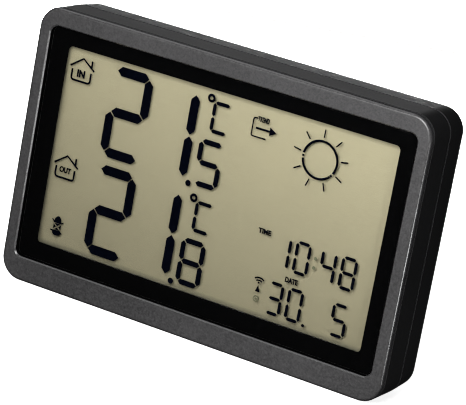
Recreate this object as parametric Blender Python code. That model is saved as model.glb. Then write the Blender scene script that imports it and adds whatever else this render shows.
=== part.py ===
"""Home weather station: a slim console for a desk or a wall, with a large segment display.

Metres, +Z up. The display looks along -Y, the back faces +Y, and the console stands on its lower edge.
The origin is in the middle of the lower edge. "Depth" below is the distance behind the front face.
"""

import math

import bmesh
import bpy
from mathutils import Matrix, Vector

# ---------------------------------------------------------------- driving dimensions (metres)

# Console
WIDTH = 0.1373
HEIGHT = 0.0890
CORNER = 0.0072
WALL = 0.0020
GAP = 0.0003

# Front frame and window
FRAME_DEPTH = 0.0035
FRAME_RIM = 0.0016
RIM_WALL = 0.0012
FRAME_ROUND = 0.0012
BORDER_SIDE = 0.00435
BORDER_TOP = 0.0058
BORDER_BOTTOM = 0.0079
WINDOW_CORNER = 0.0027
WINDOW_CHAMFER = 0.00035
LEDGE = 0.0030
LENS_RECESS = 0.0003
LENS_THICKNESS = 0.00155
PEG_RADIUS = 0.0011
PEG_LENGTH = 0.0015

# Shells
PARTING_DEPTH = 0.0126
EDGE_BREAK = 0.0003
REAR_ROUND = 0.0012
REAR_DRAFT = 0.0004
LIP_THICKNESS = 0.0008
LIP_LENGTH = 0.0014
WEB = 0.0015

# Display stack
GLASS_PLATE = 0.00105
CONTACT_LEDGE = 0.0016
FILM = 0.0003
HOLDER_PLATE = 0.0012
HOLDER_PAD = 0.0005
ZEBRA_WIDTH = 0.0012
ZEBRA_MARGIN = 0.0110

# Circuit board and what it carries
BOARD_THICKNESS = 0.0016
BOARD_HEIGHT = 0.0633
BOARD_SCREW_RADIUS = 0.00085
BOARD_POST_RADIUS = 0.0019
SWITCH_SIDE = 0.0060
SWITCH_BODY = 0.0031
SWITCH_TIP = 0.0012
SWITCH_TIP_RADIUS = 0.0017
ROD_RADIUS = 0.0035
ROD_LENGTH = 0.0500
COIL_RADIUS = 0.0050
COIL_LENGTH = 0.0160
BUZZER_RADIUS = 0.0060
BUZZER_HEIGHT = 0.0065

# Batteries (size AAA) and their bay
CELL_RADIUS = 0.00525
CELL_LENGTH = 0.0445
CELL_TIP_RADIUS = 0.0019
CELL_TIP = 0.0008
CELL_SPACE = 0.0010
BAY_WALL = 0.0012
BAY_FLOOR = 0.0010
BAY_CLEARANCE = 0.00085
SPRING_LENGTH = 0.0032
LEAD_RADIUS = 0.0005
CONTACT_PLATE = 0.0004
DOOR_THICKNESS = 0.0015
DOOR_OVERLAP = 0.0030

# Rear keys
KEY_RADIUS = 0.0035
KEY_FLANGE = 0.0009
KEY_SPACE = 0.0050
KEY_COUNT = 5
KEY_INSET = 0.01815
KEY_PANEL_DEPTH = 0.0010
KEY_PROUD = 0.0008
KEY_CROWN = 0.0004
KEY_STEM_RADIUS = 0.0016
KEY_FREE_PLAY = 0.0008

# Table stand
STAND_WIDTH = 0.0520
STAND_LENGTH = 0.0290
STAND_THICKNESS = 0.0026
TRUNNION_RADIUS = 0.00105
TRUNNION_LENGTH = 0.0016
NOTCH_RADIUS = 0.0065

# Case screws, keyhole and air slots
SCREW_RADIUS = 0.0012
SCREW_HEAD_RADIUS = 0.0024
SCREW_HEAD = 0.0018
BOSS_RADIUS = 0.0030
KEYHOLE_RADIUS = 0.0040
KEYHOLE_SLOT = 0.0038
KEYHOLE_RISE = 0.0060
KEYHOLE_POCKET = 0.0030
SLOT_COUNT = 6
SLOT_WIDTH = 0.0014
SLOT_LENGTH = 0.0120
SLOT_PITCH = 0.0032

# ---------------------------------------------------------------- places worked out from them

HALF = WIDTH / 2
WINDOW_X = HALF - BORDER_SIDE
WINDOW_LOW = BORDER_BOTTOM
WINDOW_HIGH = HEIGHT - BORDER_TOP
LENS_BACK = LENS_RECESS + LENS_THICKNESS
LEDGE_DEPTH = LENS_BACK + GAP
DISPLAY_X = WINDOW_X - LEDGE
DISPLAY_LOW = WINDOW_LOW + LEDGE
DISPLAY_HIGH = WINDOW_HIGH - LEDGE

HOUSING_FRONT = FRAME_DEPTH + GAP
WEB_BACK = HOUSING_FRONT + WEB
REAR_FRONT = PARTING_DEPTH + GAP

GLASS_FRONT = LENS_BACK + GAP
GLASS_MIDDLE = GLASS_FRONT + GLASS_PLATE
GLASS_BACK = GLASS_MIDDLE + GLASS_PLATE
GLASS_X = DISPLAY_X - GAP
GLASS_LOW = DISPLAY_LOW + GAP
GLASS_HIGH = DISPLAY_HIGH - GAP
ZEBRA_X = GLASS_X - ZEBRA_MARGIN
FILM_FRONT = GLASS_BACK + GAP
FILM_BACK = FILM_FRONT + FILM
FILM_LOW = GLASS_LOW + CONTACT_LEDGE + GAP
HOLDER_FRONT = max(WEB_BACK, FILM_BACK + HOLDER_PAD) + GAP
HOLDER_BACK = HOLDER_FRONT + HOLDER_PLATE
BOARD_FRONT = HOLDER_BACK + 2 * GAP
BOARD_BACK = BOARD_FRONT + BOARD_THICKNESS
PARTS_FRONT = BOARD_BACK + GAP

# The cells in their bay behind the board decide how deep the console is.
CELL_PITCH = 2 * CELL_RADIUS + CELL_SPACE
BAY_FRONT = BOARD_BACK + BAY_CLEARANCE
BAY_BOTTOM = BAY_FRONT + BAY_FLOOR
CELL_DEPTH = BAY_BOTTOM + GAP + CELL_RADIUS
DOOR_INSIDE = CELL_DEPTH + CELL_RADIUS + GAP
DEPTH = DOOR_INSIDE + DOOR_THICKNESS
BACK_INSIDE = DEPTH - WALL

BOSS_X = HALF - WALL - BOSS_RADIUS - 0.00115
BOSS_LOW = WALL + BOSS_RADIUS + 0.0012
BOSS_HIGH = HEIGHT - BOSS_LOW
BOSS_PLACES = [(x, z) for x in (-BOSS_X, BOSS_X) for z in (BOSS_LOW, BOSS_HIGH)]
BOARD_X = HALF - WALL - 0.0010
HOLDER_HIGH = min(GLASS_HIGH, BOSS_HIGH - BOSS_RADIUS - 0.0004)
BOARD_LOW = BOSS_LOW + BOSS_RADIUS + 0.0004
BOARD_HIGH = BOARD_LOW + BOARD_HEIGHT
POST_X = (DISPLAY_X + HALF - WALL) / 2 + 0.0002
POST_PLACES = [
    (x, z) for x in (-POST_X, POST_X) for z in (BOARD_LOW + 0.0154, BOARD_HIGH - 0.0110)
]
PEG_PLACES = [
    (x, z) for x in (-POST_X, POST_X) for z in (BOARD_LOW + 0.0063, HEIGHT / 2, BOARD_HIGH - 0.0020)
]

STAND_AXIS_DEPTH = DEPTH - 0.0001 - STAND_THICKNESS / 2
STAND_AXIS_Z = WALL + 0.0014 + GAP + STAND_THICKNESS / 2
STAND_RECESS_DEPTH = STAND_AXIS_DEPTH - STAND_THICKNESS / 2 - 0.0004
STAND_RECESS_LOW = STAND_AXIS_Z - STAND_THICKNESS / 2 - 0.0004
STAND_RECESS_HIGH = STAND_AXIS_Z + STAND_LENGTH + GAP
STAND_RECESS_X = STAND_WIDTH / 2 + GAP

BAY_X = CELL_LENGTH / 2 + (SPRING_LENGTH + 2 * CONTACT_PLATE + 5 * GAP) / 2
BAY_HALF_Z = CELL_PITCH / 2 + CELL_RADIUS + 0.0004
DOOR_X = BAY_X + DOOR_OVERLAP
DOOR_HALF_Z = BAY_HALF_Z + DOOR_OVERLAP
BAY_Z = STAND_RECESS_HIGH + NOTCH_RADIUS * 0.62 + 0.0006 + DOOR_HALF_Z + GAP

KEYHOLE_Z = HEIGHT - WALL - KEYHOLE_RISE - 0.0054
KEY_X = -(HALF - KEY_INSET)
KEY_PITCH = 2 * KEY_RADIUS + KEY_SPACE
KEY_MIDDLE_Z = HEIGHT / 2 - 0.0020
KEY_ZS = [KEY_MIDDLE_Z + (KEY_COUNT // 2 - i) * KEY_PITCH for i in range(KEY_COUNT)]
KEY_NAMES = ["mode_button", "up_button", "down_button", "channel_button", "alarm_button"]
KEY_FLOOR = DEPTH - KEY_PANEL_DEPTH
SWITCH_TIP_DEPTH = PARTS_FRONT + SWITCH_BODY + SWITCH_TIP

SIDE_X = HALF - KEY_INSET
SLOTS_Z = HEIGHT * 0.32
BUZZER_Z = HEIGHT * 0.63
ROD_X = BOSS_X - BOSS_RADIUS - 0.0020 - ROD_LENGTH / 2
ROD_Z = HEIGHT - WALL - 0.0005 - COIL_RADIUS - 0.0030
ROD_DEPTH = BOARD_BACK + ROD_RADIUS + GAP
ROD_RIB_XS = [ROD_X - ROD_LENGTH * 0.36, ROD_X + ROD_LENGTH * 0.36]

# ---------------------------------------------------------------- a clean file and two collections

for old in list(bpy.data.objects):
    bpy.data.objects.remove(old, do_unlink=True)

PARTS = bpy.data.collections.new("home_weather_station")
CUTTERS = bpy.data.collections.new("cutters")
bpy.context.scene.collection.children.link(PARTS)
bpy.context.scene.collection.children.link(CUTTERS)


def y_at(depth):
    """World Y of a depth behind the front face."""
    return depth - DEPTH / 2


def material(name, color, roughness, metallic=0.0, alpha=1.0):
    made = bpy.data.materials.new(name)
    made.use_nodes = True
    shader = made.node_tree.nodes["Principled BSDF"]
    shader.inputs["Base Color"].default_value = (*color, 1.0)
    shader.inputs["Roughness"].default_value = roughness
    shader.inputs["Metallic"].default_value = metallic
    shader.inputs["Alpha"].default_value = alpha
    return made


CASE_PLASTIC = material("case_plastic", (0.012, 0.012, 0.013), 0.45)
FRAME_PLASTIC = material("frame_plastic", (0.060, 0.058, 0.060), 0.40)
DOOR_PLASTIC = material("door_plastic", (0.014, 0.014, 0.015), 0.45)
STAND_PLASTIC = material("stand_plastic", (0.014, 0.014, 0.015), 0.42)
KEY_PLASTIC = material("key_plastic", (0.040, 0.040, 0.042), 0.35)
WINDOW_CLEAR = material("window_clear", (0.9, 0.9, 0.9), 0.05, alpha=0.3)
DISPLAY_GLASS = material("display_glass", (0.85, 0.87, 0.85), 0.05, alpha=0.35)
REFLECTOR = material("reflector", (0.48, 0.45, 0.30), 0.5)
HOLDER_PLASTIC = material("holder_plastic", (0.020, 0.020, 0.020), 0.5)
ZEBRA_RUBBER = material("zebra_rubber", (0.55, 0.55, 0.58), 0.7)
BOARD_LAMINATE = material("board_laminate", (0.03, 0.16, 0.06), 0.4)
CHIP_RESIN = material("chip_resin", (0.01, 0.01, 0.01), 0.25)
FERRITE = material("ferrite", (0.05, 0.05, 0.055), 0.6)
COPPER = material("copper_wire", (0.65, 0.25, 0.10), 0.3, 0.9)
STEEL = material("screw_steel", (0.55, 0.55, 0.57), 0.3, 1.0)
NICKEL = material("nickel_plate", (0.62, 0.60, 0.55), 0.25, 1.0)
CELL_JACKET = material("cell_jacket", (0.04, 0.07, 0.16), 0.35)
LEAD_RED = material("lead_red", (0.45, 0.02, 0.02), 0.45)
PART_BLACK = material("component_black", (0.02, 0.02, 0.02), 0.5)
CAN_METAL = material("component_can", (0.6, 0.6, 0.6), 0.3, 1.0)


# ---------------------------------------------------------------- shapes

def keep(name, mesh_data, look=None):
    """A new object from an edited bmesh: a part with a look, or a cutter without one."""
    mesh = bpy.data.meshes.new(name)
    mesh_data.to_mesh(mesh)
    mesh_data.free()
    obj = bpy.data.objects.new(name, mesh)
    if look is None:
        CUTTERS.objects.link(obj)
        obj.hide_render = True
        obj.display_type = "WIRE"
    else:
        PARTS.objects.link(obj)
        mesh.materials.append(look)
    return obj


def smooth(obj, angle=35):
    obj.data.shade_smooth()
    obj.data.set_sharp_from_angle(angle=math.radians(angle))
    return obj


def box_mesh(x, depth, z):
    """A bmesh box from (low, high) pairs in X, depth and Z."""
    made = bmesh.new()
    bmesh.ops.create_cube(made, size=1.0)
    size = (x[1] - x[0], depth[1] - depth[0], z[1] - z[0])
    middle = ((x[0] + x[1]) / 2, y_at((depth[0] + depth[1]) / 2), (z[0] + z[1]) / 2)
    bmesh.ops.scale(made, vec=size, verts=made.verts)
    bmesh.ops.translate(made, vec=middle, verts=made.verts)
    return made


def edges_along(made, axis):
    return [e for e in made.edges if abs((e.verts[1].co - e.verts[0].co).normalized()[axis]) > 0.999]


def round_edges(made, edges, radius, segments):
    bmesh.ops.bevel(
        made, geom=edges, offset=radius, offset_type="OFFSET", segments=segments,
        profile=0.5, affect="EDGES", clamp_overlap=True,
    )


def outline_edges(made, depth):
    """The edges that lie in the plane at this depth."""
    level = y_at(depth)
    return [e for e in made.edges if all(abs(v.co.y - level) < 1e-6 for v in e.verts)]


def slab(name, x, depth, z, corner=0.0, segments=6, front=0.0, back=0.0, look=None):
    """A box with corners rounded about Y, and its front and back outlines broken or rounded."""
    made = box_mesh(x, depth, z)
    if corner:
        round_edges(made, edges_along(made, 1), corner, segments)
    for level, radius in ((depth[0], front), (depth[1], back)):
        if radius:
            steps = 1 if radius <= EDGE_BREAK else 3
            round_edges(made, outline_edges(made, level), radius, steps)
    return smooth(keep(name, made, look))


def disc(name, x, z, depth, radius, sides=32, look=None, radius_back=None, crown=0.0):
    """A cylinder, or a cone, along Y between two depths. A crown rounds its back rim."""
    made = bmesh.new()
    back = radius if radius_back is None else radius_back
    length = depth[1] - depth[0]
    bmesh.ops.create_cone(
        made, cap_ends=True, segments=sides, radius1=radius, radius2=back, depth=length
    )
    bmesh.ops.rotate(made, cent=(0, 0, 0), matrix=Matrix.Rotation(-math.pi / 2, 3, "X"), verts=made.verts)
    middle = (x, y_at((depth[0] + depth[1]) / 2), z)
    bmesh.ops.translate(made, vec=middle, verts=made.verts)
    if crown:
        round_edges(made, outline_edges(made, depth[1]), crown, 2)
    return smooth(keep(name, made, look))


def bar(name, x, depth, z, radius, sides=32, look=None):
    """A cylinder along X, from x[0] to x[1]."""
    made = bmesh.new()
    bmesh.ops.create_cone(
        made, cap_ends=True, segments=sides, radius1=radius, radius2=radius, depth=x[1] - x[0]
    )
    bmesh.ops.rotate(made, cent=(0, 0, 0), matrix=Matrix.Rotation(math.pi / 2, 3, "Y"), verts=made.verts)
    bmesh.ops.translate(made, vec=((x[0] + x[1]) / 2, y_at(depth), z), verts=made.verts)
    return smooth(keep(name, made, look))


def combine(target, tools, operation):
    for tool in tools:
        step = target.modifiers.new(f"{operation.lower()}_{tool.name}"[:60], "BOOLEAN")
        step.operation = operation
        step.solver = "EXACT"
        step.object = tool
    return target


def cut(target, *tools):
    return combine(target, tools, "DIFFERENCE")


def add(target, *tools):
    return combine(target, tools, "UNION")


def wire(name, points, thickness, look):
    """A round wire along a list of points, with filled ends."""
    curve = bpy.data.curves.new(name, "CURVE")
    curve.dimensions = "3D"
    curve.bevel_depth = thickness / 2
    curve.bevel_resolution = 2
    curve.use_fill_caps = True
    spline = curve.splines.new("POLY")
    spline.points.add(len(points) - 1)
    for point, place in zip(spline.points, points):
        point.co = (*place, 1.0)
    curve.materials.append(look)
    obj = bpy.data.objects.new(name, curve)
    PARTS.objects.link(obj)
    return obj


def set_origin(obj, place):
    """Move an object's origin to a world place and leave its mesh where it is."""
    shift = Vector(place)
    obj.data.transform(Matrix.Translation(-shift))
    obj.location = shift
    return obj


# ---------------------------------------------------------------- front frame and window

def front_frame():
    frame = slab(
        "front_frame", (-HALF, HALF), (0, FRAME_RIM), (0, HEIGHT), CORNER, 10,
        front=FRAME_ROUND, back=EDGE_BREAK, look=FRAME_PLASTIC,
    )
    inset = RIM_WALL + GAP
    body = slab(
        "frame_body", (-HALF + inset, HALF - inset), (FRAME_ROUND, FRAME_DEPTH), (inset, HEIGHT - inset),
        CORNER - inset, 10,
    )
    window = slab(
        "frame_window_cut", (-WINDOW_X, WINDOW_X), (WINDOW_CHAMFER, LEDGE_DEPTH),
        (WINDOW_LOW, WINDOW_HIGH), WINDOW_CORNER, 6,
    )
    flare = box_mesh((-WINDOW_X, WINDOW_X), (-WINDOW_CHAMFER, WINDOW_CHAMFER), (WINDOW_LOW, WINDOW_HIGH))
    round_edges(flare, edges_along(flare, 1), WINDOW_CORNER, 6)
    middle_z = (WINDOW_LOW + WINDOW_HIGH) / 2
    spread = 2 * WINDOW_CHAMFER
    for vertex in flare.verts:
        if vertex.co.y < y_at(0):
            vertex.co.x *= 1 + spread / WINDOW_X
            vertex.co.z = middle_z + (vertex.co.z - middle_z) * (1 + spread / (WINDOW_HIGH - middle_z))
    flare = keep("frame_flare_cut", flare)
    through = slab(
        "frame_display_cut", (-DISPLAY_X, DISPLAY_X), (0, FRAME_DEPTH * 2), (DISPLAY_LOW, DISPLAY_HIGH)
    )
    pegs = [
        disc(f"frame_peg_{i}", x, z, (FRAME_DEPTH - 0.0005, FRAME_DEPTH + PEG_LENGTH), PEG_RADIUS, 16)
        for i, (x, z) in enumerate(PEG_PLACES)
    ]
    add(frame, body, *pegs)
    cut(frame, window, flare, through)


def window_lens():
    slab(
        "window_lens", (-WINDOW_X + GAP, WINDOW_X - GAP), (LENS_RECESS, LENS_BACK),
        (WINDOW_LOW + GAP, WINDOW_HIGH - GAP), WINDOW_CORNER - GAP, 6, front=0.00015, look=WINDOW_CLEAR,
    )


# ---------------------------------------------------------------- front housing

def front_housing():
    shell = slab(
        "front_housing", (-HALF, HALF), (FRAME_RIM + GAP, PARTING_DEPTH), (0, HEIGHT), CORNER, 10,
        front=EDGE_BREAK, back=EDGE_BREAK, look=CASE_PLASTIC,
    )
    seat = slab(
        "housing_seat_cut", (-HALF + RIM_WALL, HALF - RIM_WALL), (0, HOUSING_FRONT),
        (RIM_WALL, HEIGHT - RIM_WALL), CORNER - RIM_WALL, 10,
    )
    inner_corner = CORNER - WALL
    lip_out = WALL - LIP_THICKNESS
    lip = slab(
        "housing_lip", (-HALF + lip_out, HALF - lip_out),
        (PARTING_DEPTH - 0.0010, PARTING_DEPTH + LIP_LENGTH), (lip_out, HEIGHT - lip_out),
        CORNER - lip_out, 10,
    )
    cavity = slab(
        "housing_cavity_cut", (-HALF + WALL, HALF - WALL), (WEB_BACK, PARTING_DEPTH * 2),
        (WALL, HEIGHT - WALL), inner_corner, 8,
    )
    opening = slab(
        "housing_display_cut", (-DISPLAY_X, DISPLAY_X), (0, WEB_BACK * 2), (DISPLAY_LOW, DISPLAY_HIGH)
    )
    bosses = [
        disc(f"housing_boss_{i}", x, z, (WEB_BACK - 0.0005, PARTING_DEPTH), BOSS_RADIUS, 24)
        for i, (x, z) in enumerate(BOSS_PLACES)
    ]
    posts = [
        disc(f"housing_post_{i}", x, z, (WEB_BACK - 0.0005, BOARD_FRONT - GAP), BOARD_POST_RADIUS, 20)
        for i, (x, z) in enumerate(POST_PLACES)
    ]
    boss_holes = [
        disc(f"housing_boss_cut_{i}", x, z, (WEB_BACK + 0.0012, PARTING_DEPTH * 2), SCREW_RADIUS + GAP, 16)
        for i, (x, z) in enumerate(BOSS_PLACES)
    ]
    post_holes = [
        disc(
            f"housing_post_cut_{i}", x, z, (HOUSING_FRONT + 0.0006, BOARD_FRONT * 2),
            BOARD_SCREW_RADIUS + GAP, 16,
        )
        for i, (x, z) in enumerate(POST_PLACES)
    ]
    peg_holes = [
        disc(f"housing_peg_cut_{i}", x, z, (0, WEB_BACK * 2), PEG_RADIUS + GAP, 16)
        for i, (x, z) in enumerate(PEG_PLACES)
    ]
    add(shell, lip)
    cut(shell, seat, cavity, opening)
    add(shell, *bosses, *posts)
    cut(shell, *boss_holes, *post_holes, *peg_holes)


# ---------------------------------------------------------------- display stack

def display():
    glass = slab(
        "lcd_glass", (-GLASS_X, GLASS_X), (GLASS_FRONT, GLASS_MIDDLE), (GLASS_LOW, GLASS_HIGH),
        look=DISPLAY_GLASS,
    )
    rear_plate = slab(
        "lcd_rear_plate", (-GLASS_X, GLASS_X), (GLASS_MIDDLE - 0.0002, GLASS_BACK),
        (GLASS_LOW + CONTACT_LEDGE, GLASS_HIGH),
    )
    add(glass, rear_plate)
    film_edge = 0.0010
    slab(
        "reflector_film", (-GLASS_X + film_edge, GLASS_X - film_edge), (FILM_FRONT, FILM_BACK),
        (FILM_LOW, GLASS_HIGH - film_edge / 2), look=REFLECTOR,
    )


def zebra_strip():
    middle = GLASS_LOW + CONTACT_LEDGE / 2
    slab(
        "zebra_strip", (-ZEBRA_X, ZEBRA_X), (GLASS_MIDDLE + GAP, BOARD_FRONT - GAP),
        (middle - ZEBRA_WIDTH / 2, middle + ZEBRA_WIDTH / 2), look=ZEBRA_RUBBER,
    )


def lcd_holder():
    plate = slab(
        "lcd_holder", (-BOARD_X, BOARD_X), (HOLDER_FRONT, HOLDER_BACK), (BOARD_LOW, HOLDER_HIGH),
        look=HOLDER_PLASTIC,
    )
    pad = slab(
        "holder_pad", (-GLASS_X + 0.0015, GLASS_X - 0.0015), (FILM_BACK + GAP, HOLDER_FRONT + 0.0002),
        (FILM_LOW + 0.0005, HOLDER_HIGH - 0.0010),
    )
    middle = GLASS_LOW + CONTACT_LEDGE / 2
    slot = slab(
        "holder_zebra_cut", (-ZEBRA_X - GAP, ZEBRA_X + GAP), (0, BOARD_FRONT),
        (middle - ZEBRA_WIDTH / 2 - GAP, middle + ZEBRA_WIDTH / 2 + GAP),
    )
    holes = [
        disc(f"holder_post_cut_{i}", x, z, (0, BOARD_FRONT), BOARD_POST_RADIUS + GAP, 20)
        for i, (x, z) in enumerate(POST_PLACES)
    ]
    sides = [
        slab(
            f"holder_side_cut_{i}", (min(x, x * 1.2), max(x, x * 1.2)), (0, BOARD_FRONT),
            (z - BOARD_POST_RADIUS - GAP, z + BOARD_POST_RADIUS + GAP),
        )
        for i, (x, z) in enumerate(POST_PLACES)
    ]
    add(plate, pad)
    cut(plate, slot, *holes, *sides)


# ---------------------------------------------------------------- circuit board and its components

def circuit_board():
    board = slab(
        "circuit_board", (-BOARD_X, BOARD_X), (BOARD_FRONT, BOARD_BACK), (BOARD_LOW, BOARD_HIGH),
        0.0010, 2, look=BOARD_LAMINATE,
    )
    holes = [
        disc(f"board_hole_cut_{i}", x, z, (0, DEPTH), BOARD_SCREW_RADIUS + GAP, 16)
        for i, (x, z) in enumerate(POST_PLACES)
    ]
    cut(board, *holes)
    for i, (x, z) in enumerate(POST_PLACES):
        screw(f"board_screw_{i + 1}", x, z, PARTS_FRONT, 0.0013, 0.0019, BOARD_SCREW_RADIUS,
              HOUSING_FRONT + 0.0006 + GAP)


def screw(name, x, z, head_depth, head, head_radius, radius, tip_depth):
    """A pan-head screw along Y with a cross slot, from tip_depth to the head that sits at head_depth."""
    made = disc(name, x, z, (head_depth, head_depth + head), head_radius, 24, look=STEEL,
                radius_back=head_radius * 0.82)
    shaft = disc(f"{name}_shaft", x, z, (tip_depth, head_depth + head / 4), radius, 16)
    add(made, shaft)
    long, thin = head_radius * 0.62, head_radius * 0.13
    deep = (head_depth + head * 0.55, head_depth + head * 2)
    cross = slab(f"{name}_cross_cut", (x - long, x + long), deep, (z - thin, z + thin))
    upright = slab(f"{name}_upright_cut", (x - thin, x + thin), deep, (z - long, z + long))
    cut(made, cross, upright)
    return made


def chip_blob():
    """The resin drop over the processor: a low dome turned about its own axis."""
    radius, height, steps = 0.0065, 0.0018, 7
    made = bmesh.new()
    profile = [made.verts.new((radius, 0, 0))]
    for i in range(1, steps + 1):
        angle = math.pi / 2 * i / steps
        profile.append(made.verts.new((radius * math.cos(angle), height * math.sin(angle), 0)))
    profile[-1].co.x = 0
    centre = made.verts.new((0, 0, 0))
    outline = [centre, *profile]
    edges = [made.edges.new(pair) for pair in zip(outline, outline[1:])]
    bmesh.ops.spin(
        made, geom=outline + edges, cent=(0, 0, 0), axis=(0, 1, 0), angle=math.tau, steps=28,
        use_merge=True,
    )
    bmesh.ops.remove_doubles(made, verts=made.verts, dist=1e-6)
    bmesh.ops.recalc_face_normals(made, faces=made.faces)
    bmesh.ops.translate(made, vec=(0.0120, y_at(PARTS_FRONT), BOARD_LOW + 0.0140), verts=made.verts)
    smooth(keep("chip_blob", made, CHIP_RESIN))


def small_components():
    low = BOARD_LOW
    bar("clock_crystal", (-0.0080, -0.0020), PARTS_FRONT + 0.0010, low + 0.0070, 0.0010, 16, CAN_METAL)
    disc("buffer_capacitor", 0.0300, low + 0.0100, (PARTS_FRONT, PARTS_FRONT + 0.0070), 0.0030, 24,
         CAN_METAL)
    disc("piezo_buzzer", SIDE_X, BUZZER_Z, (PARTS_FRONT, PARTS_FRONT + BUZZER_HEIGHT), BUZZER_RADIUS, 32,
         PART_BLACK)
    slab("radio_module", (-0.0340, -0.0140), (PARTS_FRONT, PARTS_FRONT + 0.0068),
         (low + 0.0120, low + 0.0130), look=BOARD_LAMINATE)
    bead = disc("thermistor", SIDE_X, SLOTS_Z, (PARTS_FRONT + 0.0070, PARTS_FRONT + 0.0096), 0.0013, 16,
                look=PART_BLACK)
    legs = [
        slab(f"thermistor_leg_{i}", (SIDE_X + x - 0.0002, SIDE_X + x + 0.0002),
             (PARTS_FRONT, PARTS_FRONT + 0.0074), (SLOTS_Z - 0.0002, SLOTS_Z + 0.0002))
        for i, x in enumerate((-0.0007, 0.0007))
    ]
    add(bead, *legs)
    slab("microchip", (0.0335, 0.0405), (PARTS_FRONT, PARTS_FRONT + 0.0015), (low + 0.0210, low + 0.0260),
         look=PART_BLACK)


def radio_aerial():
    """A sprung aerial: a straight foot on the board, then a close coil along X."""
    turns, radius, pitch, per_turn = 6, 0.0023, 0.0019, 10
    start_x, z = -0.0300, BOARD_LOW + 0.0045
    axis_y = y_at(PARTS_FRONT + radius + 0.0022)
    points = [(start_x, y_at(PARTS_FRONT), z), (start_x, axis_y - radius - 0.0008, z)]
    for i in range(turns * per_turn + 1):
        angle = math.tau * i / per_turn
        points.append((
            start_x + 0.0008 + pitch * i / per_turn,
            axis_y - radius * math.cos(angle),
            z + radius * math.sin(angle),
        ))
    wire("radio_aerial", points, 0.0007, COPPER)


def ferrite_antenna():
    rod = (ROD_X - ROD_LENGTH / 2, ROD_X + ROD_LENGTH / 2)
    bar("ferrite_rod", rod, ROD_DEPTH, ROD_Z, ROD_RADIUS, 28, FERRITE)
    span = (ROD_X - COIL_LENGTH / 2, ROD_X + COIL_LENGTH / 2)
    coil = bar("antenna_coil", span, ROD_DEPTH, ROD_Z, COIL_RADIUS, 32, COPPER)
    inside = bar("antenna_coil_cut", rod, ROD_DEPTH, ROD_Z, ROD_RADIUS + GAP, 28)
    cut(coil, inside)


def switches():
    half = SWITCH_SIDE / 2
    for i, z in enumerate(KEY_ZS):
        body = slab(
            f"tact_switch_{i + 1}", (KEY_X - half, KEY_X + half), (PARTS_FRONT, PARTS_FRONT + SWITCH_BODY),
            (z - half, z + half), look=PART_BLACK,
        )
        tip = disc(f"tact_tip_{i + 1}", KEY_X, z, (PARTS_FRONT + SWITCH_BODY / 2, SWITCH_TIP_DEPTH),
                   SWITCH_TIP_RADIUS, 20)
        add(body, tip)


def keys():
    """Round rear keys: a cap in its hole, a flange behind the back wall and a stem to the switch."""
    flange_back = BACK_INSIDE - GAP
    for name, z in zip(KEY_NAMES, KEY_ZS):
        cap = disc(name, KEY_X, z, (flange_back - KEY_FLANGE / 2, KEY_FLOOR + KEY_PROUD), KEY_RADIUS, 32,
                   look=KEY_PLASTIC, crown=KEY_CROWN)
        flange = disc(f"{name}_flange", KEY_X, z, (flange_back - KEY_FLANGE, flange_back),
                      KEY_RADIUS + 0.0011, 32)
        stem_span = (SWITCH_TIP_DEPTH + KEY_FREE_PLAY, flange_back - KEY_FLANGE / 2)
        stem = disc(f"{name}_stem", KEY_X, z, stem_span, KEY_STEM_RADIUS, 20)
        add(cap, flange, stem)
        set_origin(cap, (KEY_X, y_at(DEPTH), z))


# ---------------------------------------------------------------- rear cover

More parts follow.
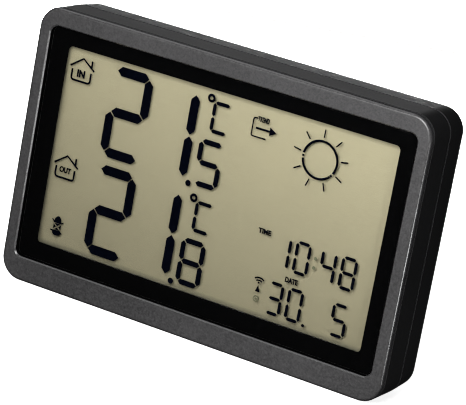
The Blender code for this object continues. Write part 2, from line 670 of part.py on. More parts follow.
def rear_cover():
    shell = box_mesh((-HALF, HALF), (REAR_FRONT, DEPTH), (0, HEIGHT))
    round_edges(shell, edges_along(shell, 1), CORNER, 10)
    for vertex in shell.verts:
        if vertex.co.y > y_at(DEPTH) - 1e-6:
            vertex.co.x *= 1 - REAR_DRAFT / HALF
            vertex.co.z = HEIGHT / 2 + (vertex.co.z - HEIGHT / 2) * (1 - REAR_DRAFT / (HEIGHT / 2))
    round_edges(shell, outline_edges(shell, DEPTH), REAR_ROUND, 4)
    round_edges(shell, outline_edges(shell, REAR_FRONT), EDGE_BREAK, 1)
    shell = smooth(keep("rear_cover", shell, CASE_PLASTIC))

    cavity = slab(
        "cover_cavity_cut", (-HALF + WALL, HALF - WALL), (0, BACK_INSIDE), (WALL, HEIGHT - WALL),
        CORNER - WALL, 8,
    )
    rabbet_out = WALL - LIP_THICKNESS - GAP
    rabbet = slab(
        "cover_rabbet_cut", (-HALF + rabbet_out, HALF - rabbet_out), (0, REAR_FRONT + LIP_LENGTH + GAP / 2),
        (rabbet_out, HEIGHT - rabbet_out), CORNER - rabbet_out, 10,
    )
    cut(shell, cavity, rabbet)

    sunk = BACK_INSIDE + WALL / 4
    bay_out = (BAY_X + BAY_WALL, BAY_HALF_Z + BAY_WALL)
    bay = slab("cover_bay", (-bay_out[0], bay_out[0]), (BAY_FRONT, sunk),
               (BAY_Z - bay_out[1], BAY_Z + bay_out[1]))
    rim = 0.0012
    flange = slab(
        "cover_bay_flange", (-DOOR_X - rim, DOOR_X + rim), (DOOR_INSIDE - GAP - 0.0012, sunk),
        (BAY_Z - DOOR_HALF_Z - rim, BAY_Z + DOOR_HALF_Z + rim),
    )
    stand_pad = slab(
        "cover_stand_pad", (-STAND_RECESS_X - 0.0030, STAND_RECESS_X + 0.0030),
        (STAND_RECESS_DEPTH - 0.0014, sunk),
        (WALL / 2, STAND_RECESS_HIGH + NOTCH_RADIUS * 0.62 + 0.0012),
    )
    pocket_x = KEYHOLE_RADIUS + 0.0014
    pocket_low = KEYHOLE_Z - KEYHOLE_RADIUS - 0.0006
    pocket_high = KEYHOLE_Z + KEYHOLE_RISE + KEYHOLE_RADIUS + 0.0006
    pocket_front = BACK_INSIDE - KEYHOLE_POCKET
    keyhole_block = slab(
        "cover_keyhole_block", (-pocket_x - 0.0012, pocket_x + 0.0012), (pocket_front - 0.0012, sunk),
        (pocket_low - 0.0010, min(pocket_high + 0.0010, HEIGHT - WALL / 2)),
    )
    bosses = [
        disc(f"cover_boss_{i}", x, z, (REAR_FRONT, sunk), BOSS_RADIUS + 0.0006, 24)
        for i, (x, z) in enumerate(BOSS_PLACES)
    ]
    ribs = [
        slab(f"cover_rib_{i}", (x - 0.0008, x + 0.0008), (ROD_DEPTH, sunk),
             (ROD_Z - ROD_RADIUS - 0.0014, ROD_Z + ROD_RADIUS + 0.0014))
        for i, x in enumerate(ROD_RIB_XS)
    ]
    add(shell, bay, flange, stand_pad, keyhole_block, *bosses, *ribs)

    behind = DEPTH * 2
    through = BACK_INSIDE - WALL
    bay_hollow = slab("cover_bay_cut", (-BAY_X, BAY_X), (BAY_BOTTOM, behind),
                      (BAY_Z - BAY_HALF_Z, BAY_Z + BAY_HALF_Z))
    door_seat = slab("cover_door_cut", (-DOOR_X, DOOR_X), (DOOR_INSIDE - GAP, behind),
                     (BAY_Z - DOOR_HALF_Z, BAY_Z + DOOR_HALF_Z), 0.0015, 4)
    stand_seat = slab("cover_stand_cut", (-STAND_RECESS_X, STAND_RECESS_X), (STAND_RECESS_DEPTH, behind),
                      (STAND_RECESS_LOW, STAND_RECESS_HIGH), 0.0010, 3)
    notch = disc("cover_notch_cut", 0, STAND_RECESS_HIGH - NOTCH_RADIUS * 0.38,
                 (STAND_RECESS_DEPTH, behind), NOTCH_RADIUS, 32)
    trunnion_reach = STAND_RECESS_X + TRUNNION_LENGTH
    trunnions = bar("cover_trunnion_cut", (-trunnion_reach, trunnion_reach), STAND_AXIS_DEPTH,
                    STAND_AXIS_Z, TRUNNION_RADIUS + GAP, 24)
    pocket = slab("cover_pocket_cut", (-pocket_x, pocket_x), (pocket_front, BACK_INSIDE),
                  (pocket_low, pocket_high), 0.0020, 4)
    pocket_through = (BACK_INSIDE - WALL / 2, behind)
    head_hole = disc("cover_keyhole_cut", 0, KEYHOLE_Z, pocket_through, KEYHOLE_RADIUS, 32)
    slot = slab("cover_keyslot_cut", (-KEYHOLE_SLOT / 2, KEYHOLE_SLOT / 2), pocket_through,
                (KEYHOLE_Z, KEYHOLE_Z + KEYHOLE_RISE), KEYHOLE_SLOT * 0.49, 6)
    head_seat = REAR_FRONT + WALL
    counterbores = [
        disc(f"cover_counterbore_cut_{i}", x, z, (head_seat, behind), SCREW_HEAD_RADIUS + 0.0004, 24)
        for i, (x, z) in enumerate(BOSS_PLACES)
    ]
    screw_holes = [
        disc(f"cover_screw_cut_{i}", x, z, (0, DEPTH), SCREW_RADIUS + GAP, 16)
        for i, (x, z) in enumerate(BOSS_PLACES)
    ]
    margin = KEY_RADIUS + 0.0030
    key_panel = slab("cover_key_panel_cut", (KEY_X - margin, KEY_X + margin), (KEY_FLOOR, behind),
                     (KEY_ZS[-1] - margin, KEY_ZS[0] + margin), 0.0030, 6)
    key_holes = [
        disc(f"cover_key_cut_{i}", KEY_X, z, (through, behind), KEY_RADIUS + GAP, 32)
        for i, z in enumerate(KEY_ZS)
    ]
    first = SLOTS_Z - (SLOT_COUNT - 1) / 2 * SLOT_PITCH
    air_slots = [
        slab(f"cover_air_cut_{i}", (SIDE_X - SLOT_LENGTH / 2, SIDE_X + SLOT_LENGTH / 2), (through, behind),
             (first + i * SLOT_PITCH - SLOT_WIDTH / 2, first + i * SLOT_PITCH + SLOT_WIDTH / 2),
             SLOT_WIDTH * 0.49, 3)
        for i in range(SLOT_COUNT)
    ]
    sound_holes = [
        disc(f"cover_sound_cut_{i}", SIDE_X + 0.0025 * math.cos(angle), BUZZER_Z + 0.0025 * math.sin(angle),
             (through, behind), 0.0008, 12)
        for i, angle in enumerate(math.tau * n / 5 for n in range(5))
    ]
    lead_holes = [
        bar(f"cover_lead_cut_{i}", (BAY_X - 0.0005, BAY_X + BAY_WALL * 2), CELL_DEPTH,
            BAY_Z + side * CELL_PITCH / 2, LEAD_RADIUS + GAP, 12)
        for i, side in enumerate((1, -1))
    ]
    rod_bed = bar("cover_rod_cut", (ROD_RIB_XS[0] - 0.0020, ROD_RIB_XS[1] + 0.0020), ROD_DEPTH, ROD_Z,
                  ROD_RADIUS + GAP, 28)
    cut(
        shell, bay_hollow, door_seat, stand_seat, notch, trunnions, pocket, head_hole, slot,
        *counterbores, *screw_holes, key_panel, *key_holes, *air_slots, *sound_holes, *lead_holes, rod_bed,
    )


def case_screws():
    head_seat = REAR_FRONT + WALL + GAP
    for i, (x, z) in enumerate(BOSS_PLACES):
        screw(f"case_screw_{i + 1}", x, z, head_seat, SCREW_HEAD, SCREW_HEAD_RADIUS, SCREW_RADIUS,
              WEB_BACK + 0.0012 + GAP)


# ---------------------------------------------------------------- batteries, contacts and door

def batteries():
    """Two cells, one each way round, with their springs and contact plates in the ends of the bay."""
    plate_z = CELL_RADIUS * 0.80
    reach = BAY_X - GAP
    for i, side in enumerate((1, -1)):
        z = BAY_Z + side * CELL_PITCH / 2
        tip_end = side * (reach - CONTACT_PLATE - GAP)
        shoulder = tip_end - side * CELL_TIP
        flat_end = tip_end - side * CELL_LENGTH
        cell = bar(f"battery_{i + 1}", sorted((flat_end, shoulder)), CELL_DEPTH, z, CELL_RADIUS, 32,
                   CELL_JACKET)
        tip = bar(f"battery_tip_{i + 1}", sorted((shoulder - side * 0.0010, tip_end)), CELL_DEPTH, z,
                  CELL_TIP_RADIUS, 20)
        add(cell, tip)
        coil_start = -side * (reach - CONTACT_PLATE - GAP)
        coil(f"battery_spring_{i + 1}", coil_start, flat_end - side * GAP, z)
    for name, side, low, high in (
        ("contact_positive", 1, CELL_PITCH / 2 - plate_z, CELL_PITCH / 2 + plate_z),
        ("contact_negative", 1, -CELL_PITCH / 2 - plate_z, -CELL_PITCH / 2 + plate_z),
        ("contact_bridge", -1, -CELL_PITCH / 2 - plate_z, CELL_PITCH / 2 + plate_z),
    ):
        slab(name, sorted((side * reach, side * (reach - CONTACT_PLATE))),
             (CELL_DEPTH - plate_z, CELL_DEPTH + plate_z), (BAY_Z + low, BAY_Z + high), look=NICKEL)


def battery_leads():
    """Two wires from the contacts, out through the end of the bay and down to the board."""
    bend, steps = 0.0020, 4
    run = BAY_X + BAY_WALL + 0.0008
    for name, z, look in (
        ("battery_lead_plus", BAY_Z + CELL_PITCH / 2, LEAD_RED),
        ("battery_lead_minus", BAY_Z - CELL_PITCH / 2, PART_BLACK),
    ):
        points = [(BAY_X, y_at(CELL_DEPTH), z)]
        for i in range(steps + 1):
            angle = math.pi / 2 * i / steps
            points.append((
                run + bend * math.sin(angle),
                y_at(CELL_DEPTH - bend * (1 - math.cos(angle))),
                z,
            ))
        points.append((run + bend, y_at(PARTS_FRONT), z))
        wire(name, points, 2 * LEAD_RADIUS, look)


def coil(name, start, end, z):
    """A battery spring: a coil along X that narrows towards the cell."""
    turns, per_turn, wide, narrow, thickness = 3.5, 10, 0.0036, 0.0022, 0.0006
    steps = int(turns * per_turn)
    inset = thickness / 2 * (1 if end > start else -1)
    first, last = start + inset, end - inset
    points = []
    for i in range(steps + 1):
        share = i / steps
        radius = wide + (narrow - wide) * share
        angle = math.tau * turns * share
        points.append((
            first + (last - first) * share,
            y_at(CELL_DEPTH) + radius * math.cos(angle),
            z + radius * math.sin(angle),
        ))
    wire(name, points, thickness, STEEL)


def battery_door():
    plate_x, plate_z = DOOR_X - GAP, DOOR_HALF_Z - GAP
    door = slab("battery_door", (-plate_x, plate_x), (DOOR_INSIDE, DEPTH),
                (BAY_Z - plate_z, BAY_Z + plate_z), 0.0012, 4, back=EDGE_BREAK, look=DOOR_PLASTIC)
    hook_x, hook_z = BAY_X * 0.55, BAY_Z - BAY_HALF_Z + GAP
    hooks = [
        slab(f"door_hook_{i}", (x - 0.0030, x + 0.0030), (DOOR_INSIDE - 0.0014, DOOR_INSIDE + 0.0002),
             (hook_z, hook_z + 0.0010))
        for i, x in enumerate((-hook_x, hook_x))
    ]
    tongue_x, tongue_low = 0.0060, BAY_Z + plate_z - 0.0075
    slits = [
        slab(f"door_slit_cut_{i}", (x - 0.0004, x + 0.0004), (CELL_DEPTH, DEPTH * 2),
             (tongue_low, BAY_Z + plate_z + 0.0020))
        for i, x in enumerate((-tongue_x, tongue_x))
    ]
    grooves = [
        slab(f"door_groove_cut_{i}", (-0.0045, 0.0045), (DEPTH - 0.0004, DEPTH * 2),
             (tongue_low + 0.0012 + i * 0.0014, tongue_low + 0.0018 + i * 0.0014))
        for i in range(4)
    ]
    add(door, *hooks)
    cut(door, *slits, *grooves)
    set_origin(door, (0, y_at(DEPTH), BAY_Z))


# ---------------------------------------------------------------- table stand

def table_stand():
    """A flap that lies flush in the back and swings down on two trunnions to prop the console."""
    half, low = STAND_WIDTH / 2, STAND_AXIS_Z
    span = (STAND_AXIS_DEPTH - STAND_THICKNESS / 2, STAND_AXIS_DEPTH + STAND_THICKNESS / 2)
    flap = slab("table_stand", (-half, half), span, (low, low + STAND_LENGTH), 0.0008, 3,
                look=STAND_PLASTIC)
    barrel = bar("stand_barrel", (-half, half), STAND_AXIS_DEPTH, low, STAND_THICKNESS / 2, 28)
    reach = STAND_RECESS_X + TRUNNION_LENGTH - GAP
    trunnion = bar("stand_trunnion", (-reach, reach), STAND_AXIS_DEPTH, low, TRUNNION_RADIUS, 24)
    add(flap, barrel, trunnion)
    waist = slab("stand_hollow_cut", (-half + 0.0035, half - 0.0035), (0, span[0] + 0.0010),
                 (low + 0.0060, low + STAND_LENGTH - 0.0040), 0.0015, 4)
    cut(flap, waist)
    set_origin(flap, (0, y_at(STAND_AXIS_DEPTH), STAND_AXIS_Z))


front_frame()
window_lens()
front_housing()
display()
zebra_strip()
lcd_holder()
circuit_board()
chip_blob()
small_components()
radio_aerial()
ferrite_antenna()
switches()
keys()
rear_cover()
case_screws()
batteries()
battery_leads()
battery_door()
table_stand()
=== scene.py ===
import math

import bpy
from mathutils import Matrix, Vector


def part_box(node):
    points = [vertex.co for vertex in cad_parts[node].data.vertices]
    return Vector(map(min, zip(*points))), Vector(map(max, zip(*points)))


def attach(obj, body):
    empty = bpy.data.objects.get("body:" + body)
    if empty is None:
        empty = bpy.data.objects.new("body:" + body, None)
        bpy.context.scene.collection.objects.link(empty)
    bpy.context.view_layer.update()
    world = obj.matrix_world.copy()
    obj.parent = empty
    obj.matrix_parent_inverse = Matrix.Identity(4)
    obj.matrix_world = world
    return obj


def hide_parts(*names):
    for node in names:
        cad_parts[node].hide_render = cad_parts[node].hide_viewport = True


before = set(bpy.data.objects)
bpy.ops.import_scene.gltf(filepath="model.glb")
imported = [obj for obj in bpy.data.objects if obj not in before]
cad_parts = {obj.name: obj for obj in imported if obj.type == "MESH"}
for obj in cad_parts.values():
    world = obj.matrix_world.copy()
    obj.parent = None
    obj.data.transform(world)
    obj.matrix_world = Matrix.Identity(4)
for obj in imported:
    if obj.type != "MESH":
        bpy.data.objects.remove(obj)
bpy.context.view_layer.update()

# Front frame: a shallow moulded ring round the window, in grained black plastic with a satin finish.
# A lighter charcoal tone is painted on what faces forward as painted light on the face. It fades out
# over the rounded edge and on the window's chamfer, which leaves the sides in painted shade. The ring
# drops into a seat in the front housing and is held by six pegs.


class Shade:
    """A socket in a material's nodes. Sums on it add Math nodes, and node() adds any other node."""

    def __init__(self, tree, out=None):
        self.tree, self.out = tree, out

    def node(self, kind, settings=None, inputs=None, out=0):
        made = self.tree.nodes.new("ShaderNode" + kind)
        for key, value in (settings or {}).items():
            if key == "stops":
                while len(made.color_ramp.elements) < len(value):
                    made.color_ramp.elements.new(0.5)
                for stop, (place, color) in zip(made.color_ramp.elements, value):
                    stop.position, stop.color = place, (*color, 1)
            else:
                setattr(made, key, value)
        for key, value in (inputs or {}).items():
            if isinstance(value, Shade):
                self.tree.links.new(value.out, made.inputs[key])
            else:
                made.inputs[key].default_value = value
        return Shade(self.tree, made.outputs[out])

    def sum(self, operation, *values, clamp=False):
        return self.node("Math", {"operation": operation, "use_clamp": clamp}, dict(enumerate(values)))

    def __add__(self, other):
        return self.sum("ADD", self, other)

    def __sub__(self, other):
        return self.sum("SUBTRACT", self, other)

    def __rsub__(self, other):
        return self.sum("SUBTRACT", other, self)

    def __mul__(self, other):
        return self.sum("MULTIPLY", self, other)

    __radd__ = __add__
    __rmul__ = __mul__

    def step(self, low, high):
        """0 below low, 1 above high, and a straight slope between."""
        return self.sum("MULTIPLY", self - low, 1 / (high - low), clamp=True)

    def tint(self, first, second):
        """A colour from first to second, as this goes from 0 to 1."""
        inputs = {0: self}
        for key, color in ((6, first), (7, second)):
            inputs[key] = color if isinstance(color, Shade) else (*color, 1)
        return self.node("Mix", {"data_type": "RGBA"}, inputs, out=2)

    def noise(self, place, size, detail=2.0, rough=0.5):
        """Soft noise with features of this size in metres."""
        return self.node("TexNoise", None, {"Vector": place, "Scale": 1 / size, "Detail": detail,
                                            "Roughness": rough})


def blank(name, **constants):
    """A new material, its Principled shader's fixed sockets set, and a first Shade of its tree."""
    look = bpy.data.materials.new(name)
    look.use_nodes = True
    shader = look.node_tree.nodes["Principled BSDF"]
    for key, value in constants.items():
        shader.inputs[key.replace("_", " ")].default_value = value
    return look, Shade(look.node_tree)


def feed(look, **sockets):
    """Links what varies over the surface into the Principled shader."""
    shader = look.node_tree.nodes["Principled BSDF"]
    for key, value in sockets.items():
        look.node_tree.links.new(value.out, shader.inputs[key.replace("_", " ")])
    return look


edge_wear_and_light_radius, cloud_size = 0.00035, 0.03


def moulded(name, color, edge_wear_and_light_color, roughness, pitch, relief, mottle=0.14, polish=0.0, coat=None,
            face_light_edge_color=None):
    """Moulded plastic: an etched grain, a slow unevenness of gloss, and edges in their own colour. That
    colour is wear by handling and also painted light: a painted highlight where it is lighter than the
    body, painted shade where it is darker. coat is a lighter tone painted only on what faces -Y:
    painted light on the face, with the sides left darker as painted shade. polish is the roughness
    that the rounds and broken edges lose where they turn from the front to the sides."""
    look, start = blank(name)
    place = start.node("TexCoord", out="Object")
    grain = start.noise(place, pitch, 3.0, 0.6)
    cloud = start.noise(place, cloud_size, 2.0)
    rounded = start.node("Bevel", {"samples": 4}, {"Radius": edge_wear_and_light_radius})
    straight = start.node("NewGeometry", out="Normal")
    together = start.node("VectorMath", {"operation": "DOT_PRODUCT"}, {0: rounded, 1: straight},
                          out="Value")
    # The edge mask carries wear and painted light: edges lighter than the body get a painted highlight,
    # darker ones painted shade.
    edge_wear_and_light = (1 - together).step(0.02, 0.25) * 0.7
    spread = (grain * 0.8 + cloud * 0.2).step(0.3, 0.7)

    def mottled(plain, edge):
        shades = (tuple(c * share for c in plain) for share in (1 - mottle, 1 + mottle))
        return edge_wear_and_light.tint(spread.tint(*shades), edge)

    base = mottled(color, edge_wear_and_light_color)
    facing = -1 * start.node("SeparateXYZ", None, {"Vector": straight}, out="Y")
    # The coat is painted light: a lighter tone only on what faces -Y, which leaves the sides in painted
    # shade.
    if coat:
        base = facing.step(0.4, 0.85).tint(base, mottled(coat, face_light_edge_color))
    rounds = facing.step(0.25, 0.4) * (1 - facing.step(0.9, 0.98)) * (1 - edge_wear_and_light)
    bump = start.node("Bump", None, {"Strength": 0.5, "Distance": relief, "Height": grain})
    return feed(
        look, Base_Color=base, Normal=bump,
        Roughness=roughness + (grain - 0.5) * 0.16 + (cloud - 0.5) * 0.12 - rounds * polish,
    )


def alone(obj):
    """Selects one object and nothing else."""
    bpy.ops.object.select_all(action="DESELECT")
    obj.select_set(True)
    bpy.context.view_layer.objects.active = obj


weld_gap, flat_angle = 0.000002, 0.4


def from_cad(node, name, body, look, angle=35):
    """A copy of a CAD node that stands for it, with its triangles joined and its rounds smooth."""
    obj = bpy.data.objects.new(name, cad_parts[node].data.copy())
    bpy.context.scene.collection.objects.link(obj)
    alone(obj)
    obj.data.materials.clear()
    obj.data.materials.append(look)
    bpy.ops.mesh.customdata_custom_splitnormals_clear()
    bpy.ops.object.mode_set(mode="EDIT")
    bpy.ops.mesh.select_all(action="SELECT")
    bpy.ops.mesh.remove_doubles(threshold=weld_gap)
    bpy.ops.mesh.dissolve_limited(angle_limit=math.radians(flat_angle))
    bpy.ops.object.mode_set(mode="OBJECT")
    bpy.ops.object.shade_smooth_by_angle(angle=math.radians(angle))
    weigh = obj.modifiers.new("weigh", "WEIGHTED_NORMAL")
    weigh.keep_sharp = True
    bpy.ops.object.modifier_apply(modifier="weigh")
    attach(obj, body)
    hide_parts(node)
    return obj


# frame_satin's lighter edges are partly wear and partly a painted highlight along the rounded edge.
frame_satin = moulded(
    "frame_satin", (0.020, 0.020, 0.021), (0.034, 0.034, 0.035), 0.40, 0.0006, 0.00005,
    mottle=0.45, polish=0.2, coat=(0.049, 0.048, 0.049), face_light_edge_color=(0.072, 0.071, 0.072),
)
from_cad("front_frame", "frame_ring", "console", frame_satin)

# Window: a clear acrylic sheet set just below the frame's face, with a polished front. The black
# border is screen printed on its back, and leaves the opening over the display clear. The sheet's
# edge is blackened with the same ink, which also paints shade into the gap between the sheet and the
# frame.
lens_low, lens_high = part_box("window_lens")
opening_low, opening_high = Vector((-0.0577, 0, 0.0138)), Vector((0.0587, 0, 0.0779))
opening_corner = 0.0015
border_corner = 0.0024
ink_thickness = 0.00006
ink_gap = 0.00002
edge_gap = 0.0001


def clear(name, tint, ior, gloss, dust):
    """Clear sheet: see-through, with a reflection by Fresnel and a little dust. Only a face that is
    seen from outside reflects, so what lies behind stays clear from a slant."""
    look, start = blank(name, Metallic=1.0, Base_Color=(0.95, 0.95, 0.95, 1))
    place = start.node("TexCoord", out="Object")
    specks = start.noise(place, 0.0006, 4.0, 0.7).step(0.72, 0.85)
    film = start.noise(place, 0.02, 2.0)
    feed(look, Roughness=gloss + film * 0.05)
    through = start.node("BsdfTransparent", None, {"Color": (*tint, 1)})
    outside = 1 - start.node("NewGeometry", out="Backfacing")
    amount = (start.node("Fresnel", None, {"IOR": ior}) + specks * dust) * outside
    both = start.node("MixShader", None, {0: amount, 1: through})
    nodes, links = look.node_tree.nodes, look.node_tree.links
    links.new(nodes["Principled BSDF"].outputs[0], both.out.node.inputs[2])
    links.new(both.out, nodes["Material Output"].inputs["Surface"])
    return look


def edit(obj):
    """Opens one object in edit mode."""
    alone(obj)
    bpy.ops.object.mode_set(mode="EDIT")
    bpy.ops.mesh.select_mode(type="VERT")


def pick(obj, test):
    """In edit mode, selects the vertices whose place passes the test, and the faces between them."""
    bpy.ops.object.mode_set(mode="OBJECT")
    for face in obj.data.polygons:
        face.select = False
    for side in obj.data.edges:
        side.select = False
    for vertex in obj.data.vertices:
        vertex.select = test(vertex.co)
    bpy.ops.object.mode_set(mode="EDIT")
    bpy.ops.mesh.select_mode(type="VERT")


def fixed(obj):
    """Puts a finished object's place, turn and size into its mesh."""
    bpy.ops.object.mode_set(mode="OBJECT")
    alone(obj)
    bpy.ops.object.transform_apply(location=True, rotation=True, scale=True)
    return obj


def rounded_outline(name, low, high, corner, y):
    """A flat rounded rectangle that faces -Y, as a ring of edges with a face."""
    middle = (low + high) / 2
    bpy.ops.mesh.primitive_plane_add(size=1, location=(middle.x, y, middle.z),
                                     rotation=(math.pi / 2, 0, 0))
    obj = bpy.context.active_object
    obj.name = name
    obj.scale = (high.x - low.x, high.z - low.z, 1)
    fixed(obj)
    edit(obj)
    bpy.ops.mesh.select_all(action="SELECT")
    bpy.ops.mesh.bevel(offset=corner, segments=6, affect="VERTICES")
    bpy.ops.object.mode_set(mode="OBJECT")
    return obj


acrylic = clear("window_acrylic", (0.97, 0.975, 0.97), 1.35, 0.02, 0.02)
from_cad("window_lens", "window_sheet", "console", acrylic)

print_y = lens_high.y + ink_gap
border = rounded_outline("window_print", lens_low, lens_high, border_corner, print_y)
hole = rounded_outline("window_print_hole", opening_low, opening_high, opening_corner, print_y)
alone(border)
hole.select_set(True)
bpy.ops.object.join()
edit(border)
bpy.ops.mesh.select_all(action="SELECT")
bpy.ops.mesh.delete(type="ONLY_FACE")
bpy.ops.mesh.select_all(action="SELECT")
bpy.ops.mesh.bridge_edge_loops()
bpy.ops.mesh.select_all(action="SELECT")
bpy.ops.mesh.normals_make_consistent(inside=False)
bpy.ops.object.mode_set(mode="OBJECT")
coat = border.modifiers.new("coat", "SOLIDIFY")
coat.thickness = ink_thickness
coat.offset = -1
bpy.ops.object.modifier_apply(modifier="coat")
ink, start = blank("printed_black", Specular_IOR_Level=0.0)
place = start.node("TexCoord", out="Object")
mesh_mark = start.noise(place, 0.0004, 2.0)
feed(ink, Base_Color=mesh_mark.tint((0.0014, 0.0014, 0.0015), (0.0024, 0.0024, 0.0026)),
     Roughness=0.75 + mesh_mark * 0.2)
# Black ink round the sheet's edge: print, and painted shade for the gap round the sheet.
around = Vector((edge_gap, 0, edge_gap))
skirt = rounded_outline("window_edge_print_and_shade", lens_low - around, lens_high + around,
                        border_corner + edge_gap, lens_low.y + edge_gap)
edit(skirt)
bpy.ops.mesh.select_all(action="SELECT")
bpy.ops.mesh.delete(type="ONLY_FACE")
bpy.ops.mesh.select_all(action="SELECT")
skirt_depth = lens_high.y - lens_low.y - edge_gap
bpy.ops.mesh.extrude_edges_move(TRANSFORM_OT_translate={"value": (0, skirt_depth, 0)})
bpy.ops.object.mode_set(mode="OBJECT")
coat = skirt.modifiers.new("coat", "SOLIDIFY")
coat.thickness = ink_thickness
coat.offset = 0
bpy.ops.object.modifier_apply(modifier="coat")
for obj in (border, skirt):
    obj.data.materials.append(ink)
    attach(obj, "console")

# Display: two glass plates with the liquid crystal between them, and a brushed reflector film
# behind. What the display shows stands in the liquid crystal as thin dark bars, so that it throws
# its own soft shadow on the film.
glass_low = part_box("lcd_glass")[0]
front_plate, below_glass = 0.00105, 0.0107
crystal_y = glass_low.y + front_plate
drawn_from = glass_low.z - below_glass
bar_height = 0.06  # in millimetres: how thick the drawn pieces are
big_bar, small_bar, clock_bar = 3.0, 1.65, 1.0
figures = {"0": "abcdef", "1": "bc", "2": "abged", "3": "abgcd", "4": "fgbc", "5": "afgcd", "8": "abcdefg"}


def segment(start, end, width, gap=0.26):
    """One bar with pointed ends, drawn flat in millimetres between two places."""
    start, end = Vector((*start, 0)), Vector((*end, 0))
    span = end - start
    shift = span.length / 2 - gap - width
    bpy.ops.mesh.primitive_cylinder_add(vertices=6, radius=width, depth=bar_height)
    obj = bpy.context.active_object
    obj.scale.x = math.tan(math.pi / 6)
    fixed(obj)
    edit(obj)
    for side in (1, -1):
        pick(obj, lambda co: co.y * side > 0)
        bpy.ops.transform.translate(value=(0, side * shift, 0))
    bpy.ops.object.mode_set(mode="OBJECT")
    obj.location = (start + end) / 2
    obj.rotation_euler.z = math.atan2(span.y, span.x) - math.pi / 2
    return obj


def digit(figure, left, right, low, high, width):
    """A figure of seven bars. The letters name the bars in the usual order."""
    middle = (low + high) / 2
    bars = {
        "a": ((left, high), (right, high)), "b": ((right, high), (right, middle)),
        "c": ((right, middle), (right, low)), "d": ((left, low), (right, low)),
        "e": ((left, middle), (left, low)), "f": ((left, high), (left, middle)),
        "g": ((left, middle), (right, middle)),
    }
    return [segment(*bars[letter], width) for letter in figures[figure]]


def line(points, width, closed=False):
    """A drawn line of even width through a list of places, in millimetres."""
    curve = bpy.data.curves.new("line", "CURVE")
    curve.dimensions = "3D"
    curve.bevel_depth = width / 2
    curve.bevel_resolution = 1
    curve.use_fill_caps = True
    spline = curve.splines.new("POLY")
    spline.points.add(len(points) - 1)
    for point, spot in zip(spline.points, points):
        point.co = (*spot, 0, 1)
    spline.use_cyclic_u = closed
    obj = bpy.data.objects.new("line", curve)
    bpy.context.scene.collection.objects.link(obj)
    alone(obj)
    bpy.ops.object.convert(target="MESH")
    obj = bpy.context.active_object
    obj.scale.z = bar_height / width
    return obj


def patch(points):
    """A filled outline through a list of places, in millimetres."""
    curve = bpy.data.curves.new("patch", "CURVE")
    curve.dimensions = "2D"
    curve.fill_mode = "BOTH"
    curve.extrude = bar_height / 2
    spline = curve.splines.new("POLY")
    spline.points.add(len(points) - 1)
    for point, spot in zip(spline.points, points):
        point.co = (*spot, 0, 1)
    spline.use_cyclic_u = True
    obj = bpy.data.objects.new("patch", curve)
    bpy.context.scene.collection.objects.link(obj)
    alone(obj)
    bpy.ops.object.convert(target="MESH")
    return bpy.context.active_object


def arc(x, z, radius, first, last, steps=14):
    """Places along an arc, its angles in degrees."""
    turn = [math.radians(first + (last - first) * i / steps) for i in range(steps + 1)]
    return [(x + radius * math.cos(a), z + radius * math.sin(a)) for a in turn]


def dot(x, z, radius, sides=20):
    """A round or many-sided spot."""
    bpy.ops.mesh.primitive_cylinder_add(vertices=sides, radius=radius, depth=bar_height,
                                        location=(x, z, 0))
    return bpy.context.active_object


def word(text, low, high, weight=0.05):
    """A generic word in plain capitals, fitted between two corners."""
    letters = bpy.data.curves.new("word", "FONT")
    letters.body = text
    letters.offset = weight
    letters.extrude = bar_height / 2
    obj = bpy.data.objects.new("word", letters)
    bpy.context.scene.collection.objects.link(obj)
    alone(obj)
    bpy.ops.object.convert(target="MESH")
    obj = bpy.context.active_object
    xs, zs = ([v.co[axis] for v in obj.data.vertices] for axis in (0, 1))
    sx, sz = (high[0] - low[0]) / (max(xs) - min(xs)), (high[1] - low[1]) / (max(zs) - min(zs))
    obj.scale = (sx, sz, 1)
    obj.location = (low[0] - min(xs) * sx, low[1] - min(zs) * sz, 0)
    return obj


def stand_up(name, drawn, y, look, body, behind=False, middle=(0, 0)):
    """Joins what was drawn flat, and stands it up at this Y, facing forwards or backwards."""
    for obj in drawn:
        fixed(obj)
    alone(drawn[0])
    for obj in drawn:
        obj.select_set(True)
    bpy.ops.object.join()
    obj = bpy.context.active_object
    obj.name = obj.data.name = name
    obj.scale = (0.001, 0.001, 0.001)
    obj.rotation_euler = (math.pi / 2, 0, math.pi if behind else 0)
    obj.location = (middle[0], y, middle[1])
    fixed(obj)
    obj.data.materials.clear()
    obj.data.materials.append(look)
    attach(obj, body)
    return obj


crystal, start = blank("dark_crystal", Specular_IOR_Level=0.0)
place = start.node("TexCoord", out="Object")
domain = start.noise(place, 0.0015, 2.0)
feed(crystal, Base_Color=domain.tint((0.0008, 0.0012, 0.0035), (0.0020, 0.0026, 0.0060)),
     Roughness=0.8 + domain * 0.15)


def show(name, drawn, look=crystal):
    """Puts what the display shows into the layer between its plates."""
    stand_up(f"display_{name}", drawn, crystal_y, look, "console",
             middle=(0, drawn_from))


